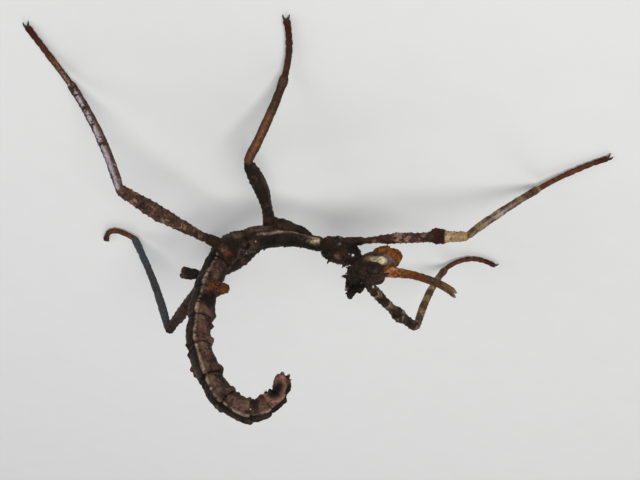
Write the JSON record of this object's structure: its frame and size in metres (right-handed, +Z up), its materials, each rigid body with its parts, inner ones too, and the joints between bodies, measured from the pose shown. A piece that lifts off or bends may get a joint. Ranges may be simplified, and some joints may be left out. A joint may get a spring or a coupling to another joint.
{
  "type": "stick insect",
  "caption": "Still model of a young prickly stick insect on slender jointed legs, with its abdomen curled up and forward over its back.",
  "frame": {"origin": "on the floor, below the middle of the box around the whole insect", "axes": "+X towards the head, along the body; +Y to the insect's left; +Z up"},
  "size_m": [0.0364, 0.0272, 0.0182],
  "materials": {
    "dark_cuticle": "rough, spiny, dark umber cuticle",
    "mottled_cuticle": "finely wrinkled cuticle mottled in brown, purple brown and tan",
    "grey_cuticle": "satin violet grey cuticle with brown bands",
    "russet_cuticle": "satin orange red to brown cuticle",
    "eye": "smooth dark brown, glossy"
  },
  "bodies": {
    "root": {"abdomen_1": "mottled_cuticle", "abdomen_2": "mottled_cuticle", "abdomen_3": "mottled_cuticle", "abdomen_4": "mottled_cuticle", "abdomen_5": "mottled_cuticle", "abdomen_6": "mottled_cuticle", "abdomen_7": "mottled_cuticle", "abdomen_8": "mottled_cuticle", "abdomen_9": "mottled_cuticle", "antenna_left": "russet_cuticle", "antenna_right": "russet_cuticle", "coxa_front_left": "dark_cuticle", "coxa_front_right": "dark_cuticle", "coxa_hind_left": "dark_cuticle", "coxa_hind_right": "dark_cuticle", "coxa_mid_left": "dark_cuticle", "coxa_mid_right": "dark_cuticle", "eye_left": "eye", "eye_right": "eye", "femur_front_left": "mottled_cuticle", "femur_front_right": "mottled_cuticle", "femur_hind_left": "mottled_cuticle", "femur_hind_right": "mottled_cuticle", "femur_mid_left": "mottled_cuticle", "femur_mid_right": "mottled_cuticle", "head": "dark_cuticle", "mesothorax": "dark_cuticle", "metathorax": "dark_cuticle", "mouthparts": "russet_cuticle", "prothorax": "dark_cuticle", "tarsus_front_left": "russet_cuticle", "tarsus_front_right": "russet_cuticle", "tarsus_hind_left": "russet_cuticle", "tarsus_hind_right": "russet_cuticle", "tarsus_mid_left": "russet_cuticle", "tarsus_mid_right": "russet_cuticle", "tibia_front_left": "grey_cuticle", "tibia_front_right": "grey_cuticle", "tibia_hind_left": "grey_cuticle", "tibia_hind_right": "grey_cuticle", "tibia_mid_left": "grey_cuticle", "tibia_mid_right": "grey_cuticle"}
  },
  "joints": []
}
